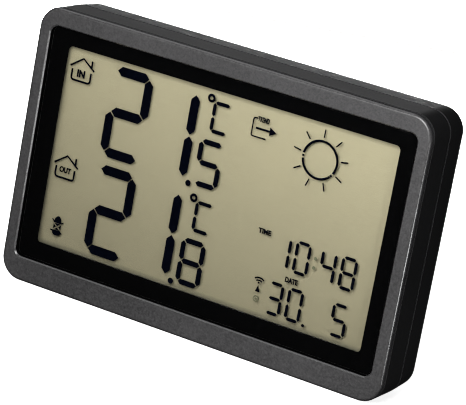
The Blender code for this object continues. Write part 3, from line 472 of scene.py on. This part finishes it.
row_drop = 31.6
house_drop = 31.5
degree_stem, degree_end = -4.5, 0.7
for row, (name, figure, place_word) in enumerate((("indoor", "5", "IN"), ("outdoor", "8", "OUT"))):
    drop, down = row * row_drop, row * house_drop
    big_low, big_high, small_low, small_high = (z - drop for z in (48.0, 74.0, 47.4, 60.7))
    reading = digit("2", -40.15, -28.2, big_low, big_high, big_bar)
    reading += digit("1", -23.35, -11.4, big_low, big_high, big_bar)
    reading += digit(figure, -6.75, 0.35, small_low, small_high, small_bar)
    reading.append(dot(-9.0, 46.6 - drop, 0.95))
    reading.append(line(arc(-6.1, 74.3 - drop, 0.95, 0, 345, 20), 0.8, closed=True))
    top, waist, foot = (z - drop for z in (73.3, 68.9, 64.5))
    for first, last in (
        ((degree_stem, top), (degree_end, top)), ((degree_stem, top), (degree_stem, waist)),
        ((degree_stem, waist), (degree_stem, foot)), ((degree_stem, foot), (degree_end, foot)),
    ):
        reading.append(segment(first, last, 1.15, 0.12))
    show(f"{name}_reading", reading)

    house = [
        line([(-57.0, 71.2 - down), (-52.6, 74.3 - down), (-48.2, 71.2 - down)], 0.62),
        line([(-49.3, 74.3 - down), (-49.3, 72.0 - down)], 0.62),
        line([(-56.1, 70.4 - down), *arc(-55.2, 67.9 - down, 0.9, 180, 270, 5),
              *arc(-50.1, 67.9 - down, 0.9, 270, 360, 5), (-49.2, 70.4 - down)], 0.65),
    ]
    low, high = ((-54.2, 68.2), (-51.3, 70.6)) if row == 0 else ((-54.8, 68.7), (-50.5, 70.6))
    house.append(word(place_word, (low[0], low[1] - down), (high[0], high[1] - down)))
    show(f"{name}_house", house)

trend = [
    line([(10.6, 72.6), *arc(9.9, 71.9, 0.7, 90, 180, 4), *arc(9.7, 67.4, 0.5, 180, 270, 4),
          (14.3, 66.9)], 0.45),
    line([(10.4, 69.6), (15.6, 69.6)], 0.65),
    patch([(15.2, 70.9), (17.5, 69.6), (15.2, 68.3)]),
    word("TREND", (10.6, 71.7), (14.6, 73.3)),
]
show("trend", trend)

sun_x, sun_z, sun_radius = 33.3, 65.9, 5.75
ray_count, ray_start, ray_end = 9, 6.9, 9.4
sun = [line(arc(sun_x, sun_z, sun_radius, first, last, steps), 0.75)
       for first, last, steps in ((-31, 172, 30), (177, 183, 2), (188, 316, 24), (-43, -36, 2))]
for ray in range(ray_count):
    angle = math.radians(90 - 360 / ray_count * ray)
    sun.append(line([(sun_x + r * math.cos(angle), sun_z + r * math.sin(angle))
                     for r in (ray_start, ray_end)], 0.45))
show("sun", sun)

clock_low, clock_high, date_low, date_high = 30.4, 39.7, 15.6, 25.0
clock = []
for figure, left, right in (("1", 24.6, 29.0), ("0", 31.4, 35.7), ("4", 40.25, 44.6), ("8", 47.1, 51.5)):
    clock += digit(figure, left, right, clock_low, clock_high, clock_bar)
clock.append(word("TIME", (17.6, 38.7), (22.0, 40.3)))
show("clock", clock)
date = []
for figure, left, right in (("3", 24.95, 29.25), ("0", 31.75, 36.1), ("5", 47.1, 51.5)):
    date += digit(figure, left, right, date_low, date_high, clock_bar)
date += [dot(38.0, 15.2, 0.5), word("DATE", (29.4, 26.5), (33.8, 28.2))]
show("date", date)

mast_x, mast_z = 20.95, 22.6
mast = [
    line(arc(mast_x, mast_z, 2.6, 52, 128, 8), 0.5), line(arc(mast_x, mast_z, 1.75, 56, 124, 6), 0.45),
    dot(mast_x, 23.6, 0.32, 8), patch([(20.15, 20.7), (mast_x, 22.9), (21.75, 20.7)]),
]
show("radio", mast)
faint, start = blank("faint_crystal", Specular_IOR_Level=0.0)
place = start.node("TexCoord", out="Object")
domain = start.noise(place, 0.0012, 2.0)
feed(faint, Base_Color=domain.tint((0.13, 0.135, 0.085), (0.18, 0.185, 0.12)),
     Roughness=0.8 + domain * 0.15)
colon_x, ring_x, ring_z = 38.0, 20.9, 18.5
half_lit = [
    dot(colon_x, 36.4, 0.55), dot(colon_x, 33.5, 0.55), dot(ring_x, ring_z, 0.32, 8),
    line(arc(ring_x, ring_z, 0.85, 0, 345, 14), 0.35, closed=True),
]
show("half_lit", half_lit, faint)

silent = [
    patch([(-53.7, 20.8), (-53.3, 22.3), (-52.5, 23.1), (-51.8, 23.1), (-51.1, 22.3), (-50.7, 20.8)]),
    patch([(-53.2, 20.65), (-51.2, 20.65), (-52.2, 19.85)]),
    patch([(-53.2, 18.55), (-51.2, 18.55), (-52.2, 19.35)]),
    patch([(-53.6, 20.4), (-53.6, 18.8), (-52.6, 19.6)]),
    patch([(-50.8, 20.4), (-50.8, 18.8), (-51.8, 19.6)]),
    patch([(-53.6, 18.45), (-50.8, 18.45), (-50.7, 17.2), (-51.6, 16.8), (-53.0, 16.8), (-53.7, 17.4)]),
    line([(-53.3, 20.9), (-54.3, 21.9)], 0.4), line([(-51.1, 21.0), (-50.0, 21.3)], 0.45),
    line([(-53.5, 18.1), (-54.5, 18.2)], 0.45), line([(-51.0, 18.3), (-50.2, 17.6)], 0.4),
]
show("alarm", silent)

plates = clear("display_plate_glass", (0.97, 0.97, 0.965), 1.2, 0.08, 0.0)
from_cad("lcd_glass", "display_plates", "console", plates)

film, start = blank("reflector_film", Specular_IOR_Level=0.35)
place = start.node("TexCoord", out="Object")
fleck = start.noise(place, 0.0005, 3.0, 0.7)
brushed = start.noise(start.node("Mapping", None, {"Vector": place, "Scale": (1, 1, 12)}), 0.004, 2.0)
shine = (fleck * 0.6 + brushed * 0.4).step(0.3, 0.7)
across = start.node("SeparateXYZ", None, {"Vector": place}, out="X")
height = start.node("SeparateXYZ", None, {"Vector": place}, out="Z")

# The film is dimmer towards its foot and close to its rim, where less light gets in.
dull_olive, pale_olive, rim_olive = (0.450, 0.402, 0.267), (0.515, 0.464, 0.311), (0.12, 0.115, 0.085)
foot_share, foot_z, head_z = 0.62, 0.010, 0.080
rim_side, rim_width, rim_z = 0.0600, 0.0020, (0.0129, 0.0147)
lower = shine.tint(*(tuple(c * foot_share for c in color) for color in (dull_olive, pale_olive)))
upper = shine.tint(dull_olive, pale_olive)
inner = height.step(*rim_z)
for from_side in (across + rim_side, rim_side - across):
    inner = inner * from_side.step(0, rim_width)
olive = height.step(foot_z, head_z).tint(lower, upper)
feed(film, Base_Color=inner.tint(rim_olive, olive), Roughness=0.42 + fleck * 0.2,
     Normal=start.node("Bump", None, {"Strength": 0.3, "Distance": 0.00001, "Height": fleck}))


def dress(node, look):
    """Gives a CAD node that stays as it is a new material."""
    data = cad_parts[node].data
    data.materials.clear()
    data.materials.append(look)


dress("reflector_film", film)
# The holder is black plastic, and its darkness also stands as painted shade in the gap under the film's
# foot.
holder_dark = moulded("holder_dark", (0.02, 0.02, 0.02), (0.04, 0.04, 0.04), 0.5, 0.0006, 0.00002)
dress("lcd_holder", holder_dark)
zebra, start = blank("zebra_rubber", Specular_IOR_Level=0.3)
place = start.node("TexCoord", out="Object")
layers = start.node("TexWave", {"bands_direction": "X"},
                    {"Vector": place, "Scale": 900.0, "Distortion": 0.4})
feed(zebra, Base_Color=layers.step(0.4, 0.6).tint((0.03, 0.03, 0.032), (0.6, 0.6, 0.63)),
     Roughness=0.6 + layers * 0.2)
dress("zebra_strip", zebra)

# Front housing: a black moulded ring with a web behind the window, the bosses for the case screws
# and the posts for the board. A thin lip of it reaches forward round the frame's body.
# case_black paints its rounds and broken edges darker than the body: painted shade, which keeps the groove
# behind the frame dark.
case_black = moulded("case_black", (0.0165, 0.0165, 0.0172), (0.012, 0.012, 0.013), 0.42, 0.0006,
                     0.00004, polish=-0.5)
from_cad("front_housing", "housing_ring", "console", case_black)

# Circuit board: green fibreglass laminate with the parts soldered on its back, held to the front
# housing by four screws. The processor sits under a drop of black resin.
laminate, start = blank("green_laminate", Specular_IOR_Level=0.5)
place = start.node("TexCoord", out="Object")
weave = start.node("TexBrick", {"offset": 0.5},
                   {"Vector": place, "Scale": 700.0, "Mortar Size": 0.05}, out="Fac")
tracks = start.node("TexWave", {"bands_direction": "Z", "wave_profile": "TRI"},
                    {"Vector": place, "Scale": 120.0, "Distortion": 2.5, "Detail": 1.0}).step(0.55, 0.65)
feed(laminate, Base_Color=tracks.tint((0.018, 0.10, 0.035), (0.035, 0.19, 0.07)),
     Roughness=0.3 + weave * 0.15,
     Normal=start.node("Bump", None, {"Strength": 0.4, "Distance": 0.00004, "Height": tracks}))
dress("circuit_board", laminate)
dress("radio_module", laminate)


def metal(name, color, shade_color, roughness, size, stretch=(1, 1, 1)):
    """Plated or drawn metal: fine scratches, small stains and a little tarnish."""
    look, start = blank(name, Metallic=1.0)
    place = start.node("Mapping", None, {"Vector": start.node("TexCoord", out="Object"), "Scale": stretch})
    scratch = start.noise(place, size, 4.0, 0.65)
    stain = start.noise(place, size * 8, 2.0).step(0.45, 0.75)
    return feed(look, Base_Color=stain.tint(color, shade_color),
                Roughness=roughness + scratch * 0.2 + stain * 0.1,
                Normal=start.node("Bump", None, {"Strength": 0.3, "Distance": 0.00001, "Height": scratch}))


def matt(name, color, light_color, roughness, size, relief, specular=0.5):
    """A dull cast or moulded body with a small mottle."""
    look, start = blank(name, Specular_IOR_Level=specular)
    place = start.node("TexCoord", out="Object")
    mottle = start.noise(place, size, 3.0, 0.6)
    return feed(look, Base_Color=mottle.step(0.3, 0.7).tint(color, light_color),
                Roughness=roughness + mottle * 0.15,
                Normal=start.node("Bump", None, {"Strength": 0.4, "Distance": relief, "Height": mottle}))


zinc = metal("zinc_plate", (0.60, 0.61, 0.63), (0.42, 0.42, 0.42), 0.24, 0.0004, (1, 1, 3))
copper = metal("enamelled_copper", (0.62, 0.24, 0.09), (0.42, 0.15, 0.06), 0.25, 0.0003, (8, 1, 1))
tin = metal("tinned_can", (0.62, 0.62, 0.62), (0.5, 0.5, 0.48), 0.22, 0.0005)
resin = matt("resin_drop", (0.006, 0.006, 0.007), (0.014, 0.014, 0.015), 0.18, 0.002, 0.00005)
ferrite = matt("ferrite_grey", (0.035, 0.035, 0.038), (0.075, 0.073, 0.072), 0.5, 0.0004, 0.00005)
part_black = matt("part_black", (0.014, 0.014, 0.014), (0.026, 0.026, 0.026), 0.4, 0.0004, 0.00002)
lead_red = matt("lead_red", (0.38, 0.015, 0.012), (0.5, 0.03, 0.02), 0.35, 0.0006, 0.00001)
for number in range(1, 5):
    from_cad(f"board_screw_{number}", f"board_fixing_{number}", "console", zinc)
for node, name, look, slot in (
    ("chip_blob", "processor_drop", resin, "chip_resin"),
    ("clock_crystal", "crystal_can", tin, "component_can"),
    ("buffer_capacitor", "capacitor_can", tin, "component_can"),
    ("piezo_buzzer", "buzzer_body", part_black, "component_black"),
    ("thermistor", "thermistor_bead", part_black, "component_black"),
    ("ferrite_rod", "aerial_rod", ferrite, "ferrite"),
    ("antenna_coil", "aerial_winding", copper, "copper_wire"),
    ("radio_aerial", "aerial_spring", copper, "copper_wire"),
    ("battery_lead_plus", "lead_red_wire", lead_red, "lead_red"),
    ("battery_lead_minus", "lead_black_wire", part_black, "component_black"),
):
    from_cad(node, name, "console", look)
for number in range(1, 6):
    dress(f"tact_switch_{number}", part_black)
dress("microchip", part_black)

# Rear cover: the deep half of the case, black and grained, with the wells for the stand, the keys
# and the battery door moulded in. A lip in the front housing lines it up, and four screws hold it.
from_cad("rear_cover", "cover_shell", "console", case_black)
for number in range(1, 5):
    from_cad(f"case_screw_{number}", f"case_fixing_{number}", "console", zinc)

# Rear keys: five round caps of softer grey plastic that stand proud of the sunk panel. Each has a
# small sign in light ink: a ring, an arrow up and down, waves for the channel and a bell.
key_grey = moulded("key_grey", (0.036, 0.036, 0.038), (0.07, 0.07, 0.072), 0.36, 0.0005, 0.00002)
pad_ink = matt("pad_ink", (0.55, 0.55, 0.54), (0.68, 0.68, 0.66), 0.5, 0.0003, 0.00001)
bar_height = 0.05
ink_lift = 0.00001
signs = {
    "mode_button": lambda: [line(arc(0, 0, 1.2, 0, 345, 18), 0.35, closed=True), dot(0, 0, 0.35)],
    "up_button": lambda: [line([(-1.3, -0.8), (0, 1.1), (1.3, -0.8)], 0.4, closed=True)],
    "down_button": lambda: [line([(-1.3, 0.8), (0, -1.1), (1.3, 0.8)], 0.4, closed=True)],
    "channel_button": lambda: [line(arc(-1.2, 0, r, -50, 50, 6), 0.32) for r in (1.0, 1.8, 2.6)],
    "alarm_button": lambda: [
        line([(-1.3, -0.8), (-0.85, -0.2), *arc(0, 0.35, 0.85, 180, 0, 10), (0.85, -0.2), (1.3, -0.8)],
             0.34, closed=True),
        dot(0, -1.2, 0.3, 10),
    ],
}
for name, drawn in signs.items():
    from_cad(name, name.replace("button", "key"), name, key_grey)
    low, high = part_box(name)
    stand_up(name.replace("button", "sign"), drawn(), high.y + ink_lift, pad_ink, name,
             behind=True, middle=((low.x + high.x) / 2, (low.z + high.z) / 2))

# Battery bay: two AAA cells, one each way round, between sprung and flat contacts of nickel plate.
# A cell is a steel can in a printed shrink sleeve, with the can showing at both ends.
nickel = metal("nickel_plate", (0.66, 0.63, 0.57), (0.5, 0.47, 0.40), 0.2, 0.0005, (1, 3, 1))
cap_start, foot_start, band_start, fade = 0.0016, 0.0008, 0.0118, 0.0001
for number, way in ((1, 1), (2, -1)):
    low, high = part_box(f"battery_{number}")
    middle = (low + high) / 2
    look, start = blank(f"cell_{number}_sleeve")
    place = start.node("TexCoord", out="Object")
    spot = start.node("SeparateXYZ", None, {"Vector": place}, out="X")
    length = high.x - low.x
    plus_end = middle.x + way * length / 2
    along = way * (plus_end - spot)
    band = along.step(band_start, band_start + fade)
    steel_end = (1 - along.step(cap_start, cap_start + fade)
                 + along.step(length - foot_start, length - foot_start + fade))
    sheen = start.noise(place, 0.0012, 3.0)
    paint = band.tint((0.55, 0.22, 0.06), (0.010, 0.022, 0.075))
    feed(look, Base_Color=steel_end.tint(paint, (0.62, 0.62, 0.63)), Metallic=steel_end * 1.0,
         Roughness=0.22 + sheen * 0.15)
    from_cad(f"battery_{number}", f"cell_{number}", "console", look)
    from_cad(f"battery_spring_{number}", f"cell_spring_{number}", "console", nickel, 60)
for node in ("contact_positive", "contact_negative", "contact_bridge"):
    dress(node, nickel)

# Battery door: a thin plate flush with the back, hooked at its lower edge and held by a sprung
# tongue with finger grooves at its upper edge. An arrow moulded on it points at the tongue.
from_cad("battery_door", "door_plate", "battery_door", case_black)
low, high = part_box("battery_door")
bar_height = 0.3
arrow_rise = 0.004
stand_up("door_arrow", [patch([(-1.7, -1.0), (0, 1.1), (1.7, -1.0)])], high.y, case_black,
         "battery_door", behind=True, middle=(0, (low.z + high.z) / 2 + arrow_rise))

# Table stand: a flap that lies flush in its well and swings down on two moulded trunnions. It is
# moulded in the same black plastic, a little smoother than the cover.
stand_black = moulded("stand_black", (0.022, 0.022, 0.023), (0.036, 0.036, 0.037), 0.37, 0.0005, 0.00003)
from_cad("table_stand", "stand_flap", "table_stand", stand_black)

# Floor: one pale paper sheet under the console, wide enough to pass every edge of the view, in a
# white room. Both are seen, and neither lights the console nor is reflected in it.
floor_size, near, far = 12, 0.25, 1.2
bpy.ops.mesh.primitive_plane_add(size=floor_size)
floor = bpy.context.active_object
floor.name = "floor"
sheet, start = blank("floor_white", Emission_Strength=1.0, Specular_IOR_Level=0.0)
place = start.node("TexCoord", out="Object")
away = start.node("VectorMath", {"operation": "LENGTH"}, {0: place}, out="Value").step(near, far)
feed(sheet, Base_Color=start.noise(place, 0.2, 2.0).tint((0.80, 0.80, 0.80), (0.86, 0.86, 0.86)),
     Emission_Color=away.tint((0.86, 0.86, 0.86), (1, 1, 1)))
floor.data.materials.append(sheet)
floor.visible_glossy = False
floor.visible_diffuse = False
floor.visible_shadow = False
world = bpy.data.worlds.new("pale_room")
bpy.context.scene.world = world
world.use_nodes = True
world.node_tree.nodes["Background"].inputs["Color"].default_value = (1, 1, 1, 1)
world.cycles_visibility.diffuse = False
world.cycles_visibility.glossy = False
world.cycles_visibility.transmission = False

# Light: soft boxes round the console. Two in front and above light the face, and one overhead and
# two low on the right draw the edges. Of the two behind, the low one lights the back and the high
# one lies as a sheen on the top.
for name, power, size, where, aim in (
    ("face_box", 0.85, (0.14, 0.14), (0.062, -0.23, 0.175), (0.02, -0.011, 0.05)),
    ("front_box", 1.6, (0.4, 0.3), (-0.15, -0.8, 0.25), (0, 0, 0.044)),
    ("top_box", 0.8, (0.5, 0.3), (-0.28, -0.12, 0.55), (0, 0, 0.05)),
    ("table_bounce", 0.42, (0.12, 0.06), (0.33, -0.21, -0.05), (0.068, 0, 0.044)),
    ("side_box", 0.08, (0.4, 0.2), (0.80, 0.0, 0.02), (0.06, 0, 0.04)),
    ("low_back_box", 5.0, (0.5, 0.07), (-0.25, 0.45, 0.042), (0, 0, 0.044)),
    ("back_box", 0.15, (0.4, 0.3), (-0.36, 0.70, 0.27), (0, 0, 0.07)),
):
    lamp = bpy.data.lights.new(name, "AREA")
    lamp.energy, lamp.shape, lamp.size, lamp.size_y = power, "RECTANGLE", size[0], size[1]
    box = bpy.data.objects.new(name, lamp)
    bpy.context.scene.collection.objects.link(box)
    box.location = where
    box.rotation_euler = (Vector(where) - Vector(aim)).to_track_quat("Z", "Y").to_euler()
    box.visible_camera = False

# Camera: a long lens in front of the console, to the right and above it, turned a little about its
# own axis.
lens = bpy.data.cameras.new("camera")
lens.lens, lens.sensor_width = 207.518, 36
camera = bpy.data.objects.new("camera", lens)
bpy.context.scene.collection.objects.link(camera)
camera.location = (0.365833, -0.705495, 0.255373)
camera.rotation_euler = [math.radians(a) for a in (74.7734, -10.1234, 29.9550)]
bpy.context.scene.camera = camera
bpy.context.scene.view_settings.view_transform = "Standard"
bpy.context.scene.cycles.transparent_max_bounces = 32
bpy.context.scene.cycles.filter_width = 1.1
